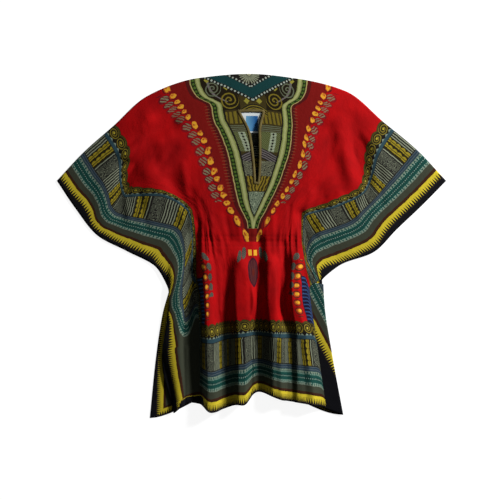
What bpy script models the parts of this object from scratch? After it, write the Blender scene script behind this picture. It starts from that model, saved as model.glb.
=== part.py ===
"""A dashiki shirt of printed cotton, laid flat on its back with the front up.

The shirt lies on the plane Z = 0 with the neck towards +Y and the hem towards -Y. Front and back are two
lengths of cloth with the kimono sleeves cut in one. The front lies on the back and stands up in soft folds.
Cloth is measured in two directions: "across" from the middle line, left negative, and "drop" down from
the shoulder fold. Tables and sizes are in millimetres, and points are placed in metres.
"""

import math

import bmesh
import bpy
import numpy as np
from mathutils import Vector

MM = 0.001

HALF_WIDTH = 555.0
LENGTH = 780.0
FRONT_WALL = 1.6
BACK_WALL = 1.5
SEAM_GAP = 0.3
BACK_LEVEL = BACK_WALL / 2
FRONT_LOW = BACK_WALL + SEAM_GAP + FRONT_WALL / 2 + 0.1

WAIST = 390.0
UNDERARM = 320.0

SLIT_TOP = 90.0
SLIT_END = 254.0
SLIT_CLOSED_HALF = 12.0
BINDING_WIDTH = 6.0
BINDING_WALL = 1.0

LABEL_WIDTH = 50.0
LABEL_LENGTH = 54.0
LABEL_WALL = 0.8
LABEL_MIDDLE = -2.0
LABEL_TUCK = 5.0

FLANK_ROUND = 1.9
FLANK_REST = 2.85
RIGHT_EDGE_LIFT = 2.6

# The lengthwise lines of the cloth that the sections below cross, by their distance from the middle line.
LINES = (555.0, 468.0, 359.0, 240.0, 120.0)

# Sections across the front, one at each drop. Each pair of columns is where a line of the cloth lies:
# cuff or side edge, middle of the border, edge of the field, arm, chest.
SECTION_COLUMNS = "drop  cuff_x cuff_y  border_x border_y  field_x field_y  arm_x arm_y  chest_x chest_y"
LEFT_SECTIONS = (
    (0, -457, 153, -394, 220, -325, 281, -243, 353, -126, 394),
    (80, -414, 89, -352, 145, -283, 207, -222, 277, -123, 315),
    (160, -361, 24, -311, 76, -283, 139, -208, 197, -123, 237),
    (240, -293, -12, -236, 59, -208, 129, -166, 136, -119, 160),
    (320, -223, -51, -163, 33, -140, 80, -114, 75, -102, 82),
    (390, -194, -106, -156, -38, -133, 12, -109, 12, -79, 12),
    (460, -192, -136, -159, -118, -133, -68, -105, -61, -69, -59),
    (600, -210, -263, -149, -249, -126, -204, -95, -204, -53, -195),
    (780, -182, -392, -147, -367, -119, -371, -93, -388, -51, -376),
)
RIGHT_SECTIONS = (
    (0, 457, 153, 389, 225, 311, 290, 222, 363, 112, 392),
    (80, 401, 96, 335, 160, 269, 216, 201, 284, 107, 310),
    (160, 342, 40, 282, 100, 257, 141, 184, 202, 105, 230),
    (240, 286, -15, 221, 54, 189, 103, 142, 132, 90, 153),
    (320, 213, -42, 145, 29, 119, 73, 100, 78, 74, 80),
    (390, 159, -80, 128, -31, 118, 5, 95, 12, 67, 12),
    (460, 136, -99, 130, -78, 123, -61, 100, -59, 69, -56),
    (600, 152, -221, 147, -204, 140, -197, 109, -195, 69, -193),
    (780, 175, -381, 170, -378, 163, -376, 121, -367, 76, -360),
)
MIDDLE_COLUMNS = "drop x y"
MIDDLE_LINE = (
    (0, -6, 404),
    (80, -4, 324),
    (160, -4, 244),
    (240, -1, 164),
    (320, 1, 85),
    (390, 1, 12),
    (460, 4, -56),
    (600, 8, -190),
    (780, 11, -341),
)

# The two edges of the neck slit, as distances across the cloth. It leans to the right as it closes.
SLIT_COLUMNS = "drop left right"
SLIT_EDGES = (
    (SLIT_TOP, -22.5, 31.0),
    (138, 2.0, 22.5),
    (195, 10.5, 24.0),
    (SLIT_END, 15.5, 20.5),
)

# The back below the waist: its left edge, the fold on the right where it turns forward, the inner edge of
# the part that is turned forward, and how far the middle of each section lies above a straight line.
BACK_COLUMNS = "drop  left_x left_y  fold_x fold_y  inner_x inner_y  bow"
BACK_SECTIONS = (
    (390, -194, -106, 166, -80, 133, -75, 105),
    (460, -209, -160, 169, -136, 133, -127, 92),
    (600, -225, -266, 186, -249, 148, -233, 72),
    (780, -239, -404, 213, -396, 168, -381, 74),
)

# Folds of the front, each along a straight line in plan. A trough has a negative height.
FOLD_COLUMNS = "x_start y_start  x_end y_end  height half_width"
FOLDS = (
    (-203, 258, -290, 190, -5, 21),
    (-295, 179, -311, 75, -6, 19),
    (-215, 226, -180, 132, -4, 17),
    (-239, 290, -328, 190, 4, 21),
    (-352, 150, -352, 70, 3, 20),
    (-252, 185, -232, 110, 4, 20),
    (-145, 122, -136, 42, -9, 15),
    (236, 301, 250, 226, -5, 19),
    (250, 226, 269, 160, -6, 18),
    (184, 273, 213, 155, -4, 17),
    (290, 262, 322, 170, 4, 18),
    (217, 218, 232, 150, 4, 18),
    (116, 73, 133, -30, -8, 11),
    (-137, 49, -140, -367, -13, 13),
    (-168, -127, -163, -381, 5, 12),
    (-107, -38, -93, -381, 16, 17),
    (-58, -68, -55, -357, -6, 12),
    (-25, -38, -20, -367, 13, 17),
    (18, 7, 22, -341, -10, 12),
    (46, -38, 48, -352, 14, 15),
    (76, 2, 79, -186, -6, 10),
    (105, -28, 121, -367, 14, 15),
)

# Gathers drawn in by the elastic at the waist, each along a lengthwise line of the cloth.
GATHER_COLUMNS = "across height reach_up reach_down"
GATHERS = (
    (-265, 4.5, 34, 52),
    (-204, 5.0, 26, 44),
    (-148, 4.2, 38, 60),
    (-105, 4.8, 24, 40),
    (-80, 4.0, 30, 34),
    (-55, 4.6, 22, 48),
    (58, 4.4, 24, 50),
    (84, 4.0, 32, 36),
    (116, 5.0, 26, 46),
    (172, 4.4, 36, 58),
    (231, 4.8, 28, 40),
    (302, 4.2, 32, 54),
)


def columns(names, rows):
    """A table's rows as one array for each named column."""
    return {name: np.array(values, float) for name, values in zip(names.split(), zip(*rows))}


def smooth(knots, values, at):
    """Values read from a smooth curve through the knots, which never swings past them."""
    knots = np.asarray(knots, float)
    values = np.asarray(values, float)
    gaps = np.diff(knots)
    rates = np.diff(values) / gaps
    turns = rates[:-1] * rates[1:] > 0
    slopes = np.zeros(len(knots))
    slopes[0] = rates[0]
    slopes[-1] = rates[-1]
    safe = np.where(turns, rates[:-1] + rates[1:], 1.0)
    slopes[1:-1] = np.where(turns, 2 * rates[:-1] * rates[1:] / safe, 0.0)
    at = np.clip(np.asarray(at, float), knots[0], knots[-1])
    k = np.clip(np.searchsorted(knots, at, side="right") - 1, 0, len(gaps) - 1)
    t = (at - knots[k]) / gaps[k]
    start = (1 + 2 * t) * (1 - t) ** 2 * values[k] + t * (1 - t) ** 2 * gaps[k] * slopes[k]
    end = t**2 * (3 - 2 * t) * values[k + 1] - t**2 * (1 - t) * gaps[k] * slopes[k + 1]
    return start + end


def ramp(value, low, high):
    """0 below low and 1 above high, with a soft start and end."""
    t = np.clip((np.asarray(value, float) - low) / (high - low), 0.0, 1.0)
    return t * t * (3 - 2 * t)


LEFT = columns(SECTION_COLUMNS, LEFT_SECTIONS)
RIGHT = columns(SECTION_COLUMNS, RIGHT_SECTIONS)
MIDDLE = columns(MIDDLE_COLUMNS, MIDDLE_LINE)
SLIT = columns(SLIT_COLUMNS, SLIT_EDGES)
BACK = columns(BACK_COLUMNS, BACK_SECTIONS)
FOLD = columns(FOLD_COLUMNS, FOLDS)
GATHER = columns(GATHER_COLUMNS, GATHERS)
PLACES = ("cuff", "border", "field", "arm", "chest")


def front_plan(across, drop):
    """Where points of one section of the front lie in plan: arrays of x and y."""
    ends = []
    for axis in "xy":
        left = [smooth(LEFT["drop"], LEFT[f"{place}_{axis}"], drop) for place in PLACES]
        right = [smooth(RIGHT["drop"], RIGHT[f"{place}_{axis}"], drop) for place in PLACES]
        middle = smooth(MIDDLE["drop"], MIDDLE[axis], drop)
        knots = [-line for line in LINES] + [0.0] + list(reversed(LINES))
        values = left + [middle] + list(reversed(right))
        ends.append(smooth(knots, values, across))
    return ends[0], ends[1]


def back_plan(across, drop):
    """Where points of one section of the back lie in plan, which is the front's above the underarm."""
    front_x, front_y = front_plan(across, min(drop, WAIST))
    side = np.asarray(across, float) / HALF_WIDTH
    at = {name: smooth(BACK["drop"], values, max(drop, WAIST)) for name, values in BACK.items()}
    x = (at["left_x"] + at["fold_x"]) / 2 + side * (at["fold_x"] - at["left_x"]) / 2
    y = (at["left_y"] + at["fold_y"]) / 2 + side * (at["fold_y"] - at["left_y"]) / 2
    y = y + at["bow"] * (1 - side**2) ** 2
    share = ramp(drop, UNDERARM, WAIST)
    return front_x + share * (x - front_x), front_y + share * (y - front_y)


def fold_heights(x, y):
    """How much the long folds raise or lower the front at points in plan."""
    total = np.zeros_like(x)
    for k in range(len(FOLDS)):
        along_x = FOLD["x_end"][k] - FOLD["x_start"][k]
        along_y = FOLD["y_end"][k] - FOLD["y_start"][k]
        from_x = x - FOLD["x_start"][k]
        from_y = y - FOLD["y_start"][k]
        part = np.clip((from_x * along_x + from_y * along_y) / (along_x**2 + along_y**2), 0.0, 1.0)
        away = np.hypot(from_x - part * along_x, from_y - part * along_y)
        total = total + FOLD["height"][k] * np.exp(-((away / FOLD["half_width"][k]) ** 2))
    return total


def gather_heights(across, drop):
    """How much the gathers raise the front, fading above and below the waist."""
    total = np.zeros_like(across)
    spread = np.gradient(GATHER["across"]) * 0.27
    for k in range(len(GATHERS)):
        width = min(abs(spread[k]), 17.0)
        reach = GATHER["reach_up"][k] if drop < WAIST else GATHER["reach_down"][k]
        fade = math.exp(-(((drop - WAIST) / reach) ** 2))
        total = total + GATHER["height"][k] * fade * np.exp(-(((across - GATHER["across"][k]) / width) ** 2))
    return total


def front_height(across, drop, x, y):
    """Height of the middle of the front's wall over the surface that the shirt lies on."""
    side = np.abs(across)
    body = 1 - ramp(side, 150, 420)
    plateau = 6.0 + 5.0 * body * ramp(drop, 20, 260) + 4.0 * ramp(drop, 380, 470)
    from_cuff = 1 - np.exp(-(HALF_WIDTH - side) / 50.0)
    from_shoulder = 1 - math.exp(-drop / 22.0)
    to_hem = 1 - 0.25 * ramp(drop, 700, LENGTH)
    raised = plateau + fold_heights(x, y) + gather_heights(across, drop)
    waist_dip = 3.0 * body * math.exp(-(((drop - WAIST) / 14.0) ** 2))
    raised = (raised - waist_dip) * from_cuff * from_shoulder * to_hem
    soft = 2.0
    lift = soft * np.log1p(np.exp(np.clip(raised / soft, -30, 30))) * from_shoulder**0.5
    on_flank = RIGHT_EDGE_LIFT * ramp(across, 380, 540) * ramp(drop, UNDERARM, WAIST)
    return FRONT_LOW + lift * from_cuff**0.5 + on_flank


def slit_edges(drop):
    """The two edges of the neck slit in one section, or the columns that carry on above and below it."""
    left = float(smooth(SLIT["drop"], SLIT["left"], drop))
    right = float(smooth(SLIT["drop"], SLIT["right"], drop))
    below = float(ramp(drop, SLIT_END + BINDING_WIDTH, WAIST - 50))
    return left + below * (-SLIT_CLOSED_HALF - left), right + below * (SLIT_CLOSED_HALF - right)


def side_columns():
    """Distances from the middle line of the columns at each side, from the slit outwards."""
    sides = []
    for sign in (-1, 1):
        peaks = sorted(abs(a) for a in GATHER["across"] if a * sign > 0)
        inner = []
        for near, far in zip(peaks, peaks[1:]):
            inner += [near + part * (far - near) for part in (0.0, 0.25, 0.5, 0.75)]
        outer = list(np.linspace(peaks[-1], LINES[2], 4)) + list(np.linspace(LINES[2], HALF_WIDTH, 9)[1:])
        sides.append(inner + outer)
    return sides


def front_rows():
    """Drops of the front's rows: closer at the shoulder fold, the slit's ends and the waist."""
    shoulder = [0.0, 9.0, 24.0, 44.0, 64.0, SLIT_TOP - BINDING_WIDTH]
    slit = list(np.linspace(SLIT_TOP, SLIT_END, 8))
    chest = [SLIT_END + BINDING_WIDTH, 284.0, 310.0, 336.0]
    waist = list(np.linspace(356.0, 440.0, 7))
    skirt = list(np.linspace(466.0, LENGTH, 11))
    return shoulder + slit + chest + waist + skirt


def new_object(name, bm, wall, collection, color, roughness):
    """An object from an open surface, thickened about its middle by a Solidify modifier."""
    mesh = bpy.data.meshes.new(name)
    bm.normal_update()
    bm.to_mesh(mesh)
    bm.free()
    mesh.shade_smooth()
    made = bpy.data.objects.new(name, mesh)
    collection.objects.link(made)
    thick = made.modifiers.new("wall", "SOLIDIFY")
    thick.thickness = wall * MM
    thick.offset = 0.0
    material = bpy.data.materials.new(name)
    material.use_nodes = True
    shader = material.node_tree.nodes["Principled BSDF"]
    shader.inputs["Base Color"].default_value = (*color, 1.0)
    shader.inputs["Roughness"].default_value = roughness
    shader.inputs["Metallic"].default_value = 0.0
    mesh.materials.append(material)
    return made


def quads(bm, rows, left_out=()):
    """Faces between neighbouring rows of vertices, facing up."""
    for i in range(len(rows) - 1):
        for j in range(len(rows[i]) - 1):
            if (i, j) not in left_out:
                bm.faces.new((rows[i][j], rows[i + 1][j], rows[i + 1][j + 1], rows[i][j + 1]))


def front_grid():
    """The front's points, row by row, with the number of columns to the left of the slit."""
    left, right = side_columns()
    points = []
    for drop in front_rows():
        slit_left, slit_right = slit_edges(drop)
        bind_left = slit_left - BINDING_WIDTH
        bind_right = slit_right + BINDING_WIDTH
        between_left = (bind_left - left[0]) / 2
        between_right = (bind_right + right[0]) / 2
        across = [-a for a in reversed(left)] + [between_left, bind_left, slit_left]
        across += [slit_right, bind_right, between_right] + right
        across = np.array(across)
        x, y = front_plan(across, drop)
        z = front_height(across, drop, x, y)
        points.append([Vector((a, b, c)) * MM for a, b, c in zip(x, y, z)])
    return points, len(left) + 3


def slit_rows():
    """Numbers of the rows at the top and the low end of the slit."""
    drops = front_rows()
    return drops.index(SLIT_TOP), drops.index(SLIT_END)


def make_front(collection):
    """The front with both sleeves, cut open at the neck."""
    points, middle = front_grid()
    top, end = slit_rows()
    bm = bmesh.new()
    rows = [[bm.verts.new(p) for p in row] for row in points]
    slit = {(i, middle - 1) for i in range(top, end)}
    quads(bm, rows, slit)
    return new_object("front", bm, FRONT_WALL, collection, (0.38, 0.01, 0.012), 0.75)


def make_binding(collection):
    """The narrow facing round the slit, made from the front's own points and moved out from them."""
    points, middle = front_grid()
    top, end = slit_rows()
    bm = bmesh.new()
    rows = [[bm.verts.new(p) for p in row] for row in points]
    quads(bm, rows)
    bm.normal_update()
    out = (FRONT_WALL / 2 + SEAM_GAP + BINDING_WALL / 2) * MM
    moved = {v: v.co + v.normal * out for row in rows for v in row}
    for vertex, place in moved.items():
        vertex.co = place
    keep = set()
    for i in range(top - 1, end + 1):
        for j in range(middle - 2, middle + 1):
            inside_slit = top <= i < end and j == middle - 1
            if not inside_slit:
                keep.add((i, j))
    for face in list(bm.faces):
        bm.faces.remove(face)
    skipped = {(i, j) for i in range(len(rows) - 1) for j in range(len(rows[0]) - 1)} - keep
    quads(bm, rows, skipped)
    bmesh.ops.delete(bm, geom=[v for v in bm.verts if not v.link_faces], context="VERTS")
    return new_object("neck_binding", bm, BINDING_WALL, collection, (0.10, 0.10, 0.012), 0.7)


def make_back(collection):
    """The back, flat on the surface, with its right side below the waist turned forward over itself."""
    drops = list(np.linspace(0, UNDERARM, 9)) + [355.0, WAIST + 12] + list(np.linspace(440, LENGTH, 8))
    across = np.linspace(-HALF_WIDTH, HALF_WIDTH, 25)
    first_flank = drops.index(WAIST + 12)
    bm = bmesh.new()
    rows = []
    for drop in drops:
        x, y = back_plan(across, drop)
        rows.append([bm.verts.new(Vector((a, b, BACK_LEVEL)) * MM) for a, b in zip(x, y)])
    quads(bm, rows)
    turns = np.radians(np.linspace(-90, 90, 6))[1:]
    inward = np.linspace(0, 1, 5)[1:]
    flank = []
    for row, drop in zip(rows[first_flank:], drops[first_flank:]):
        at = {name: float(smooth(BACK["drop"], values, drop)) for name, values in BACK.items()}
        edge = row[-1].co / MM
        line = [row[-1]]
        for turn in turns:
            reach = FLANK_ROUND * math.cos(turn)
            rise = FLANK_ROUND * (1 + math.sin(turn))
            line.append(bm.verts.new(Vector((edge.x + reach, edge.y, BACK_LEVEL + rise)) * MM))
        top = BACK_LEVEL + 2 * FLANK_ROUND
        for part in inward:
            x = edge.x + part * (at["inner_x"] - edge.x)
            y = edge.y + part * (at["inner_y"] - edge.y)
            z = top + part * (FLANK_REST - top)
            line.append(bm.verts.new(Vector((x, y, z)) * MM))
        flank.append(line)
    quads(bm, flank)
    return new_object("back", bm, BACK_WALL, collection, (0.16, 0.04, 0.02), 0.75)


def make_label(collection):
    """The plain woven label that hangs from the top of the slit down on the back."""
    x_mid, y_top = front_plan(np.array([0.0]), SLIT_TOP)
    x_edge = np.array([LABEL_MIDDLE - LABEL_WIDTH / 2, LABEL_MIDDLE, LABEL_MIDDLE + LABEL_WIDTH / 2])
    under = front_height(np.array([0.0]), SLIT_TOP, x_mid, y_top)[0] - FRONT_WALL / 2
    high = under - SEAM_GAP - LABEL_WALL / 2 - 0.3
    low = BACK_WALL + SEAM_GAP + LABEL_WALL / 2
    bm = bmesh.new()
    rows = []
    steps = 6
    for k in range(steps + 1):
        part = k / steps
        y = y_top[0] + LABEL_TUCK - part * LABEL_LENGTH
        z = low + (high - low) * (1 - ramp(part, 0.0, 0.75)) if part > 0 else high
        rows.append([bm.verts.new(Vector((x, y, z)) * MM) for x in x_edge])
    quads(bm, rows)
    return new_object("neck_label", bm, LABEL_WALL, collection, (0.62, 0.72, 0.82), 0.5)


def main():
    for existing in list(bpy.data.objects):
        bpy.data.objects.remove(existing)
    collection = bpy.data.collections.new("dashiki_shirt")
    bpy.context.scene.collection.children.link(collection)
    make_back(collection)
    make_front(collection)
    make_binding(collection)
    make_label(collection)


main()
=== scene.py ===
"""Finishes the laid dashiki shirt: fine folds, printed cotton, stitching, floor, lights and camera.

Cloth is measured in two directions: "across" from the middle line, left negative, and "drop" down from
the shoulder fold. Tables and sizes of the cloth are in millimetres, and points are placed in metres.
"""

import math

import bmesh
import bpy
import numpy as np
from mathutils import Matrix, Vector


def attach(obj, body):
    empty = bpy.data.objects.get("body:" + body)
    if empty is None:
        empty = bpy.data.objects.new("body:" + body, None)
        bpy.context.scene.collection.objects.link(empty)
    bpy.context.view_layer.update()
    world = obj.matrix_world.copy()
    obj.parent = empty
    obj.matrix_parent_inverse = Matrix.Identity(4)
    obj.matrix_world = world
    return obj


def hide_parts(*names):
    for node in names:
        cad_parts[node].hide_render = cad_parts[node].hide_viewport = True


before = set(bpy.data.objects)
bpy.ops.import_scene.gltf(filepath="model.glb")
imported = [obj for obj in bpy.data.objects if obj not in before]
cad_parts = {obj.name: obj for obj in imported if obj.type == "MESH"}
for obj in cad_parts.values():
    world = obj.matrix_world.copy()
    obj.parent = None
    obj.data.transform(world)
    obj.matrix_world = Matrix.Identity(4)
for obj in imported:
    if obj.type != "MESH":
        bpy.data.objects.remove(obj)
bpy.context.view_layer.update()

MM = 0.001

# The same sizes and sections as the solids have.
HALF_WIDTH = 555.0
LENGTH = 780.0
BACK_WALL = 1.5
SEAM_GAP = 0.3
FRONT_WALL = 1.6
BACK_LEVEL = BACK_WALL / 2
FRONT_LOW = BACK_WALL + SEAM_GAP + FRONT_WALL / 2 + 0.1
WAIST = 390.0
UNDERARM = 320.0
SLIT_TOP = 90.0
SLIT_END = 254.0
SLIT_CLOSED_HALF = 12.0
FLANK_ROUND = 1.9
FLANK_REST = 2.85
RIGHT_EDGE_LIFT = 2.6
LINES = (555.0, 468.0, 359.0, 240.0, 120.0)


def columns(names, rows):
    """A table's rows as one array for each named column."""
    return {name: np.array(values, float) for name, values in zip(names.split(), zip(*rows))}


def smooth(knots, values, at):
    """Values read from a smooth curve through the knots, which never swings past them."""
    knots = np.asarray(knots, float)
    values = np.asarray(values, float)
    gaps = np.diff(knots)
    rates = np.diff(values) / gaps
    turns = rates[:-1] * rates[1:] > 0
    slopes = np.zeros(len(knots))
    slopes[0] = rates[0]
    slopes[-1] = rates[-1]
    safe = np.where(turns, rates[:-1] + rates[1:], 1.0)
    slopes[1:-1] = np.where(turns, 2 * rates[:-1] * rates[1:] / safe, 0.0)
    at = np.clip(np.asarray(at, float), knots[0], knots[-1])
    k = np.clip(np.searchsorted(knots, at, side="right") - 1, 0, len(gaps) - 1)
    t = (at - knots[k]) / gaps[k]
    start = (1 + 2 * t) * (1 - t) ** 2 * values[k] + t * (1 - t) ** 2 * gaps[k] * slopes[k]
    end = t**2 * (3 - 2 * t) * values[k + 1] - t**2 * (1 - t) * gaps[k] * slopes[k + 1]
    return start + end


def ramp(value, low, high):
    """0 below low and 1 above high, with a soft start and end."""
    t = np.clip((np.asarray(value, float) - low) / (high - low), 0.0, 1.0)
    return t * t * (3 - 2 * t)


def along(table, at):
    """One value read from a table of places and values."""
    return float(smooth(*zip(*table), at))


def row_at(table, drop):
    """Every named column of a table, read at one drop."""
    return {name: float(smooth(table["drop"], values, drop)) for name, values in table.items()}


def bell(away, reach):
    """1 at no distance away, and falling smoothly with it."""
    return np.exp(-((away / reach) ** 2))


SECTION_COLUMNS = "drop  cuff_x cuff_y  border_x border_y  field_x field_y  arm_x arm_y  chest_x chest_y"
LEFT = columns(SECTION_COLUMNS, (
    (0, -457, 153, -394, 220, -325, 281, -243, 353, -126, 394),
    (80, -414, 89, -352, 145, -283, 207, -222, 277, -123, 315),
    (160, -361, 24, -311, 76, -283, 139, -208, 197, -117, 237),
    (240, -293, -12, -236, 59, -208, 129, -166, 136, -108, 160),
    (320, -223, -51, -163, 33, -140, 80, -114, 75, -98, 82),
    (390, -194, -106, -156, -38, -133, 12, -109, 12, -79, 12),
    (460, -192, -136, -159, -118, -133, -68, -105, -61, -69, -59),
    (600, -210, -263, -149, -249, -126, -204, -95, -204, -53, -195),
    (780, -182, -392, -147, -367, -119, -371, -93, -388, -51, -376),
))
RIGHT = columns(SECTION_COLUMNS, (
    (0, 457, 153, 389, 225, 311, 290, 222, 363, 112, 392),
    (80, 401, 96, 335, 160, 269, 216, 201, 284, 111, 310),
    (160, 342, 40, 282, 100, 257, 141, 184, 202, 119, 230),
    (240, 286, -15, 221, 54, 189, 103, 148, 132, 107, 153),
    (320, 213, -42, 145, 29, 119, 73, 102, 78, 80, 80),
    (390, 159, -80, 128, -31, 118, 5, 95, 12, 67, 12),
    (460, 136, -99, 130, -78, 123, -61, 100, -59, 69, -56),
    (600, 152, -221, 147, -204, 140, -197, 109, -195, 69, -193),
    (780, 175, -381, 170, -378, 163, -376, 121, -367, 76, -360),
))
MIDDLE = columns("drop x y", (
    (0, -6, 404), (80, 1, 324), (160, 9, 244),
    (240, 12, 164), (320, 3, 85), (390, 1, 12),
    (460, 4, -56), (600, 8, -190), (780, 11, -341),
))
SLIT = columns("drop left right", (
    (SLIT_TOP, -27.0, 24.0), (138, -10.0, 9.0),
    (195, -5.0, 6.5), (SLIT_END, -2.0, 3.0),
))
BACK = columns("drop  left_x left_y  fold_x fold_y  inner_x inner_y  bow", (
    (390, -194, -106, 166, -80, 133, -75, 105),
    (460, -209, -160, 169, -136, 133, -127, 92),
    (600, -225, -266, 186, -249, 148, -233, 72),
    (780, -239, -404, 213, -396, 168, -381, 74),
))

# The long folds of the front, as in the solids.
FOLD_COLUMNS = "x_start y_start  x_end y_end  height half_width"
FOLD = columns(FOLD_COLUMNS, (
    (-203, 258, -290, 190, -5, 21), (-295, 179, -311, 75, -6, 19),
    (-215, 226, -180, 132, -4, 17), (-239, 290, -328, 190, 4, 21),
    (-352, 150, -352, 70, 3, 20), (-252, 185, -232, 110, 4, 20),
    (-145, 122, -136, 42, -9, 15), (236, 301, 250, 226, -5, 19),
    (250, 226, 269, 160, -6, 18), (184, 273, 213, 155, -4, 17),
    (290, 262, 322, 170, 4, 18), (217, 218, 232, 150, 4, 18),
    (116, 73, 133, -30, -8, 11), (-137, 49, -140, -367, -13, 13),
    (-168, -127, -163, -381, 5, 12), (-107, -38, -93, -381, 16, 17),
    (-58, -68, -55, -357, -6, 12), (-25, -38, -20, -367, 13, 17),
    (18, 7, 22, -341, -10, 12), (46, -38, 48, -352, 14, 15),
    (76, 2, 79, -186, -6, 10), (105, -28, 121, -367, 14, 15),
))
GATHER = columns("across height reach_up reach_down", (
    (-265, 4.5, 34, 52), (-204, 5.0, 26, 44), (-148, 4.2, 38, 60),
    (-105, 4.8, 24, 40), (-80, 4.0, 30, 34), (-55, 4.6, 22, 48),
    (58, 4.4, 24, 50), (84, 4.0, 32, 36), (116, 5.0, 26, 46),
    (172, 4.4, 36, 58), (231, 4.8, 28, 40), (302, 4.2, 32, 54),
))

PLACES = ("cuff", "border", "field", "arm", "chest")
# Where the front rises from its sides, shoulder and hem, in millimetres and as shares.
BODY_SIDES = (150, 420)
SLEEVE_RISE = 6.0
CHEST_RISE = 5.0
CHEST_DROPS = (20, 260)
SKIRT_RISE = 4.0
SKIRT_DROPS = (380, 470)
CUFF_FALL = 50.0
SHOULDER_FALL = 22.0
HEM_FALL = 0.25
HEM_FALL_DROP = 700.0
WAIST_DIP = 3.0
DIP_REACH = 14.0
SOFT_LIFT = 2.0
FLANK_SIDES = (380, 540)
GATHER_SPREAD = 0.27
GATHER_WIDEST = 17.0
GATHER_SHARE = 0.42


def front_plan(across, drop):
    """Where points of one section of the front lie in plan: arrays of x and y."""
    left, middle, right = [row_at(table, drop) for table in (LEFT, MIDDLE, RIGHT)]
    knots = [-line for line in LINES] + [0.0, *LINES[::-1]]
    ends = []
    for axis in "xy":
        names = [f"{place}_{axis}" for place in PLACES]
        values = [left[name] for name in names] + [middle[axis]] + [right[name] for name in names[::-1]]
        ends.append(smooth(knots, values, across))
    return ends


def back_plan(across, drop):
    """Where points of one section of the back lie in plan, which is the front's above the underarm."""
    front_x, front_y = front_plan(across, min(drop, WAIST))
    side = np.asarray(across, float) / HALF_WIDTH
    at = row_at(BACK, max(drop, WAIST))
    x = (at["left_x"] + at["fold_x"]) / 2 + side * (at["fold_x"] - at["left_x"]) / 2
    y = (at["left_y"] + at["fold_y"]) / 2 + side * (at["fold_y"] - at["left_y"]) / 2
    y = y + at["bow"] * (1 - side**2) ** 2
    share = ramp(drop, UNDERARM, WAIST)
    return front_x + share * (x - front_x), front_y + share * (y - front_y)


def line_heights(table, x, y):
    """How much folds along straight lines in plan raise or lower the cloth at points in plan."""
    total = np.zeros_like(x)
    for k in range(len(table["height"])):
        along_x = table["x_end"][k] - table["x_start"][k]
        along_y = table["y_end"][k] - table["y_start"][k]
        from_x = x - table["x_start"][k]
        from_y = y - table["y_start"][k]
        part = np.clip((from_x * along_x + from_y * along_y) / (along_x**2 + along_y**2), 0.0, 1.0)
        away = np.hypot(from_x - part * along_x, from_y - part * along_y)
        total = total + table["height"][k] * bell(away, table["half_width"][k])
    return total


GATHER_WIDTHS = np.minimum(abs(np.gradient(GATHER["across"])) * GATHER_SPREAD, GATHER_WIDEST)
WIDE_GATHERS = list(zip(*GATHER.values(), GATHER_WIDTHS))


def gather_heights(rows, across, drop, least=0.0):
    """How much gathers raise the front, each fading above and below the waist."""
    total = np.zeros_like(across)
    for place, height, up, down, width in rows:
        fade = bell(drop - WAIST, up if drop < WAIST else down)
        if fade > least:
            total = total + height * fade * bell(across - place, width)
    return total


def front_height(across, drop, x, y):
    """Height of the middle of the front's wall over the surface that the shirt lies on."""
    side = np.abs(across)
    body = 1 - ramp(side, *BODY_SIDES)
    plateau = SLEEVE_RISE + CHEST_RISE * body * ramp(drop, *CHEST_DROPS)
    plateau = plateau + SKIRT_RISE * ramp(drop, *SKIRT_DROPS)
    from_cuff = 1 - np.exp(-(HALF_WIDTH - side) / CUFF_FALL)
    from_shoulder = 1 - math.exp(-drop / SHOULDER_FALL)
    to_hem = 1 - HEM_FALL * ramp(drop, HEM_FALL_DROP, LENGTH)
    raised = plateau + line_heights(FOLD, x, y) + GATHER_SHARE * gather_heights(WIDE_GATHERS, across, drop)
    waist_dip = WAIST_DIP * body * bell(drop - WAIST, DIP_REACH)
    raised = (raised - waist_dip) * from_cuff * from_shoulder * to_hem
    lift = SOFT_LIFT * np.log1p(np.exp(np.clip(raised / SOFT_LIFT, -30, 30))) * from_shoulder**0.5
    on_flank = RIGHT_EDGE_LIFT * ramp(across, *FLANK_SIDES) * ramp(drop, UNDERARM, WAIST)
    return FRONT_LOW + lift * from_cuff**0.5 + on_flank


def slit_edges(drop):
    """The two edges of the neck slit in one section, or the columns that carry on above and below it."""
    _, left, right = row_at(SLIT, drop).values()
    below = float(ramp(drop, SLIT_END + 6.0, WAIST - 50))
    return left + below * (-SLIT_CLOSED_HALF - left), right + below * (SLIT_CLOSED_HALF - right)


# Smaller creases that only the fine front has.
CREASE = columns(FOLD_COLUMNS, (
    (-180, 230, -215, 180, -1.8, 8), (-160, 190, -150, 120, 2.2, 8),
    (-175, 112, -160, 62, 2.0, 7), (-120, 104, -96, 44, -2.0, 7),
    (-95, 62, -88, 22, 2.0, 6), (-60, 74, -52, 16, -2.4, 7),
    (-31, 58, -26, 14, 2.0, 6), (12, 52, 14, 14, -1.8, 6),
    (50, 66, 48, 18, 2.2, 7), (90, 92, 84, 20, -2.0, 6),
    (140, 122, 118, 50, 2.4, 8), (172, 112, 140, 42, -2.2, 8),
    (205, 122, 160, 30, 2.5, 9), (-262, 262, -318, 214, -1.6, 8),
    (-300, 132, -286, 60, 2.0, 8), (-262, 120, -247, 42, -2.0, 8),
    (262, 262, 296, 218, 1.8, 8), (300, 176, 306, 96, -2.2, 9),
    (262, 146, 250, 70, 2.0, 8), (206, 262, 196, 212, 1.8, 9),
    (-76, -30, -74, -150, 2.4, 7), (-120, -40, -122, -170, 2.2, 6),
    (-4, -30, -2, -160, -2.6, 6), (34, -34, 33, -120, 2.4, 6),
    (62, -30, 63, -210, -2.4, 6), (92, -34, 96, -140, 2.0, 6),
    (-152, -240, -151, -360, 2.0, 6), (-84, -250, -78, -366, -2.2, 6),
    (-38, -220, -36, -352, -2.0, 6), (8, -230, 6, -350, 2.0, 6),
    (66, -226, 70, -356, 2.2, 7), (112, -220, 130, -362, -2.2, 7),
))

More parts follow.
